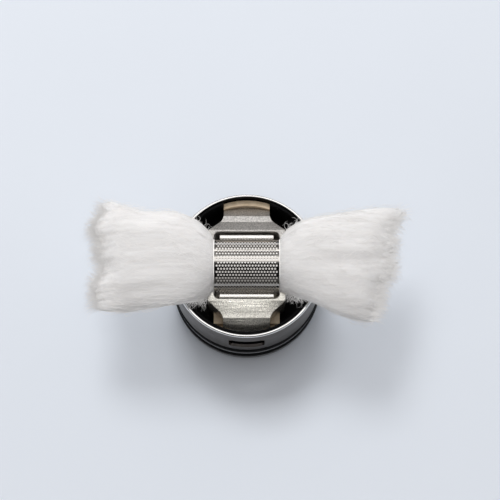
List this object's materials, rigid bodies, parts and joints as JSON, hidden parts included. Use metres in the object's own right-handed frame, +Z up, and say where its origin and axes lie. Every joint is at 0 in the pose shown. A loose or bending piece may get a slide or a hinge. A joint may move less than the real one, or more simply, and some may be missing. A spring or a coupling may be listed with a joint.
{
  "type": "rebuildable atomizer mesh deck",
  "caption": "Round plug-in build deck with two clamp posts, a perforated mesh strip arched over a cotton wick, and two sealing rings.",
  "frame": {"origin": "on the axis of the round cup, in the plane that the base stands on", "axes": "+Z up along the cup's axis, X along the wick, +Y towards the rear (positive) post"},
  "size_m": [0.0325, 0.016, 0.0125],
  "materials": {
    "polished_steel": "polished stainless steel",
    "brushed_steel": "machined stainless steel with fine tool lines",
    "mesh_alloy": "etched resistance alloy foil",
    "gold_plate": "gold plated",
    "peek": "satin tan engineering plastic",
    "black_plastic": "matte black",
    "black_rubber": "smooth satin rubber",
    "cotton": "soft white carded fibre"
  },
  "bodies": {
    "deck": {"deck_base": "polished_steel", "deck_sleeve": "brushed_steel", "well_liner": "black_plastic", "oring_lower": "black_rubber", "oring_upper": "black_rubber", "post_rear": "brushed_steel", "post_front": "brushed_steel", "post_pad_rear": "peek", "post_pad_front": "peek", "mesh_strip": "mesh_alloy", "cotton_wick": "cotton", "center_pin": "gold_plate", "pin_insulator": "peek", "post_screw_front_left": "polished_steel", "post_screw_front_right": "polished_steel", "post_screw_rear_left": "polished_steel", "post_screw_rear_right": "polished_steel", "screw_bush_left": "peek", "screw_bush_right": "peek"},
    "rear_bar": {"clamp_bar_rear": "brushed_steel"},
    "rear_screw": {"clamp_screw_rear": "polished_steel"},
    "front_bar": {"clamp_bar_front": "brushed_steel"},
    "front_screw": {"clamp_screw_front": "polished_steel"}
  },
  "joints": [
    {"name": "rear_bar_slide", "type": "slide", "parent": "deck", "child": "rear_bar", "axis": [0, 1, 0], "range_m": [0, 0.0002]},
    {"name": "rear_screw_turn", "type": "hinge", "parent": "rear_bar", "child": "rear_screw", "pos_m": [0, 0.006, 0.0061], "axis": [0, 1, 0], "range_deg": [0, 206]},
    {"name": "front_bar_slide", "type": "slide", "parent": "deck", "child": "front_bar", "axis": [0, -1, 0], "range_m": [0, 0.0002]},
    {"name": "front_screw_turn", "type": "hinge", "parent": "front_bar", "child": "front_screw", "pos_m": [0, -0.006, 0.0061], "axis": [0, -1, 0], "range_deg": [0, 206]}
  ],
  "couplings": [
    {"joint": "rear_screw_turn", "follows": "rear_bar_slide", "rad_per_m": 17952},
    {"joint": "front_screw_turn", "follows": "front_bar_slide", "rad_per_m": 17952}
  ]
}
